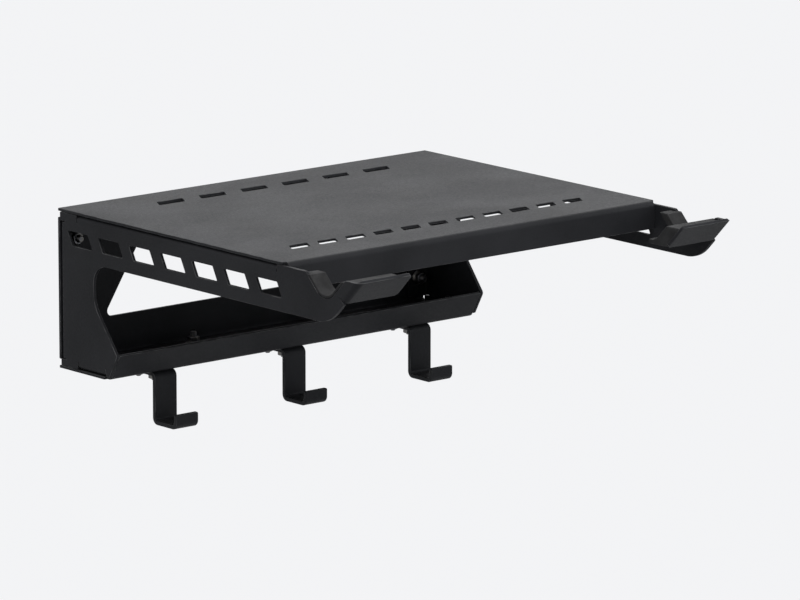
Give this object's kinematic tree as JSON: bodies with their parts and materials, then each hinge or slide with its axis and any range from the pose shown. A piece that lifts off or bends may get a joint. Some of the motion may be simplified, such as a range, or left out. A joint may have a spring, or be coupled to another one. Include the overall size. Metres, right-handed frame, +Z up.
{
  "type": "bike hanger",
  "caption": "Wall-mounted bike hanger: folded sheet shelf on two arms that end in padded V cradles, with a lower tray and flat J-hooks.",
  "frame": {"origin": "on the back plate's wall face, in its upper band, midway between the two middle wall holes", "axes": "+Y into the wall, -Y out of the wall towards the bike, +X along the wall to the right of someone facing the hanger, +Z up"},
  "size_m": [0.345, 0.3368, 0.1556],
  "materials": {
    "powder_coated_steel": "fine-textured matt black powder coat",
    "cradle_rubber": "matt black moulded rubber",
    "black_zinc_steel": "black-zinc plated steel"
  },
  "bodies": {
    "root": {"left_side_panel": "powder_coated_steel", "right_side_panel": "powder_coated_steel", "shelf_plate": "powder_coated_steel", "lower_tray": "powder_coated_steel", "back_plate": "powder_coated_steel", "left_hook": "powder_coated_steel", "middle_hook": "powder_coated_steel", "right_hook": "powder_coated_steel", "left_cradle_pad": "cradle_rubber", "right_cradle_pad": "cradle_rubber", "shelf_stud_left_front": "black_zinc_steel", "shelf_stud_left_rear": "black_zinc_steel", "shelf_stud_right_front": "black_zinc_steel", "shelf_stud_right_rear": "black_zinc_steel", "shelf_stud_back_left": "black_zinc_steel", "shelf_stud_back_right": "black_zinc_steel", "shelf_nut_left_front": "black_zinc_steel", "shelf_nut_left_rear": "black_zinc_steel", "shelf_nut_right_front": "black_zinc_steel", "shelf_nut_right_rear": "black_zinc_steel", "shelf_nut_back_left": "black_zinc_steel", "shelf_nut_back_right": "black_zinc_steel", "tray_stud_left": "black_zinc_steel", "tray_stud_right": "black_zinc_steel", "tray_stud_back_left": "black_zinc_steel", "tray_stud_back_right": "black_zinc_steel", "tray_nut_left": "black_zinc_steel", "tray_nut_right": "black_zinc_steel", "tray_nut_back_left": "black_zinc_steel", "tray_nut_back_right": "black_zinc_steel", "back_stud_left_low": "black_zinc_steel", "back_stud_left_high": "black_zinc_steel", "back_stud_right_low": "black_zinc_steel", "back_stud_right_high": "black_zinc_steel", "back_nut_left_low": "black_zinc_steel", "back_nut_left_high": "black_zinc_steel", "back_nut_right_low": "black_zinc_steel", "back_nut_right_high": "black_zinc_steel", "hook_screw_left_front": "black_zinc_steel", "hook_screw_left_rear": "black_zinc_steel", "hook_screw_middle_front": "black_zinc_steel", "hook_screw_middle_rear": "black_zinc_steel", "hook_screw_right_front": "black_zinc_steel", "hook_screw_right_rear": "black_zinc_steel", "hook_nut_left_front": "black_zinc_steel", "hook_nut_left_rear": "black_zinc_steel", "hook_nut_middle_front": "black_zinc_steel", "hook_nut_middle_rear": "black_zinc_steel", "hook_nut_right_front": "black_zinc_steel", "hook_nut_right_rear": "black_zinc_steel"}
  },
  "joints": []
}
